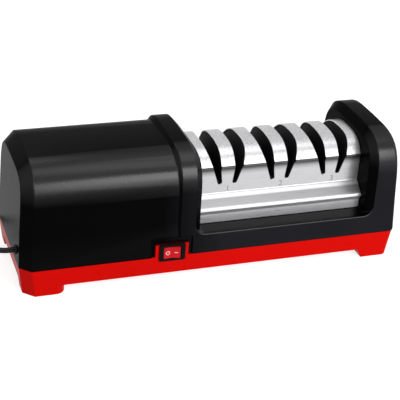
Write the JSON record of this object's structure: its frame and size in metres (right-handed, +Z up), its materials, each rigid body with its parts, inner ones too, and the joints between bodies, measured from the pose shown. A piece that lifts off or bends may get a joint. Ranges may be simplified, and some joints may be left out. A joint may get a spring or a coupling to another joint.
{
  "type": "electric knife sharpener",
  "caption": "Benchtop electric knife sharpener: black motor housing on a red base, silver guide cover with angled blade slots over spring-loaded abrasive wheels, front rocker switch.",
  "frame": {"origin": "centre of the footprint on the table plane under the foot pads", "axes": "+X along the case from the motor end to the guide end, -Y to the front with the switch, +Z up"},
  "size_m": [0.3478, 0.2304, 0.1115],
  "materials": {
    "case_red": "satin",
    "case_black": "satin",
    "guide_silver": "satin silver paint",
    "pad_rubber": "matte",
    "screw_steel": "satin",
    "switch_black": "gloss",
    "switch_lens": "gloss",
    "contact_brass": "satin",
    "motor_steel": "satin",
    "motor_nylon": "matte",
    "magnet_ferrite": "matte",
    "winding_copper": "enamelled",
    "brush_carbon": "matte",
    "shaft_steel": "ground",
    "cradle_black": "matte",
    "capacitor_yellow": "gloss",
    "coupling_rubber": "matte",
    "wheel_diamond": "grit",
    "wheel_ceramic": "fine grit",
    "cord_rubber": "matte"
  },
  "bodies": {
    "housing": {"base_tray": "case_red", "upper_housing": "case_black", "guide_cover": "guide_silver", "slot_liner": "case_black", "foot_pad_front_left": "pad_rubber", "foot_pad_front_right": "pad_rubber", "foot_pad_rear_left": "pad_rubber", "foot_pad_rear_right": "pad_rubber", "case_screw_rear_left": "screw_steel", "case_screw_front_left": "screw_steel", "case_screw_rear_right": "screw_steel", "case_screw_front_right": "screw_steel", "switch_frame": "switch_black", "switch_terminal_in": "contact_brass", "switch_terminal_out": "contact_brass", "motor_can": "motor_steel", "motor_end_cap": "motor_nylon", "field_magnet_front": "magnet_ferrite", "field_magnet_rear": "magnet_ferrite", "carbon_brush_front": "brush_carbon", "carbon_brush_rear": "brush_carbon", "motor_cradle_left": "cradle_black", "motor_cradle_right": "cradle_black", "suppressor_capacitor": "capacitor_yellow", "spindle_bearing_left": "shaft_steel", "spindle_bearing_right": "shaft_steel", "bearing_pedestal_left": "cradle_black", "bearing_pedestal_right": "cradle_black", "strain_relief": "cord_rubber", "mains_cord": "cord_rubber", "cord_coil": "cord_rubber", "mains_plug": "cord_rubber", "plug_pin_front": "contact_brass", "plug_pin_rear": "contact_brass"},
    "rocker": {"switch_rocker": "switch_lens"},
    "spindle": {"motor_shaft": "shaft_steel", "armature_core": "motor_steel", "winding_end_left": "winding_copper", "winding_end_right": "winding_copper", "commutator": "winding_copper", "cooling_fan": "motor_nylon", "drive_coupling": "coupling_rubber", "wheel_spindle": "shaft_steel", "coarse_clip_left": "shaft_steel", "coarse_clip_right": "shaft_steel", "coarse_spring": "shaft_steel", "medium_clip_left": "shaft_steel", "medium_clip_right": "shaft_steel", "medium_spring": "shaft_steel", "polishing_clip_left": "shaft_steel", "polishing_clip_right": "shaft_steel", "polishing_spring": "shaft_steel"},
    "coarse_wheel_left": {"coarse_wheel_left": "wheel_diamond"},
    "coarse_wheel_right": {"coarse_wheel_right": "wheel_diamond"},
    "medium_wheel_left": {"medium_wheel_left": "wheel_diamond"},
    "medium_wheel_right": {"medium_wheel_right": "wheel_diamond"},
    "polishing_wheel_left": {"polishing_wheel_left": "wheel_ceramic"},
    "polishing_wheel_right": {"polishing_wheel_right": "wheel_ceramic"}
  },
  "joints": [
    {"name": "power_switch", "type": "hinge", "parent": "housing", "child": "rocker", "pos_m": [-0.0384, -0.0502, 0.0286], "axis": [0, 0, 1], "range_deg": [0, 10]},
    {"name": "spindle_spin", "type": "hinge", "parent": "housing", "child": "spindle", "pos_m": [0, 0, 0.045], "axis": [1, 0, 0], "continuous": true},
    {"name": "coarse_slide_left", "type": "slide", "parent": "spindle", "child": "coarse_wheel_left", "axis": [1, 0, 0], "range_m": [0, 0.001], "stiffness_N_per_m": 300, "springref_m": -0.004, "deforming": ["coarse_spring"]},
    {"name": "coarse_slide_right", "type": "slide", "parent": "spindle", "child": "coarse_wheel_right", "axis": [-1, 0, 0], "range_m": [0, 0.001], "stiffness_N_per_m": 300, "springref_m": -0.004},
    {"name": "medium_slide_left", "type": "slide", "parent": "spindle", "child": "medium_wheel_left", "axis": [1, 0, 0], "range_m": [0, 0.001], "stiffness_N_per_m": 300, "springref_m": -0.004, "deforming": ["medium_spring"]},
    {"name": "medium_slide_right", "type": "slide", "parent": "spindle", "child": "medium_wheel_right", "axis": [-1, 0, 0], "range_m": [0, 0.001], "stiffness_N_per_m": 300, "springref_m": -0.004},
    {"name": "polishing_slide_left", "type": "slide", "parent": "spindle", "child": "polishing_wheel_left", "axis": [1, 0, 0], "range_m": [0, 0.001], "stiffness_N_per_m": 300, "springref_m": -0.004, "deforming": ["polishing_spring"]},
    {"name": "polishing_slide_right", "type": "slide", "parent": "spindle", "child": "polishing_wheel_right", "axis": [-1, 0, 0], "range_m": [0, 0.001], "stiffness_N_per_m": 300, "springref_m": -0.004}
  ]
}
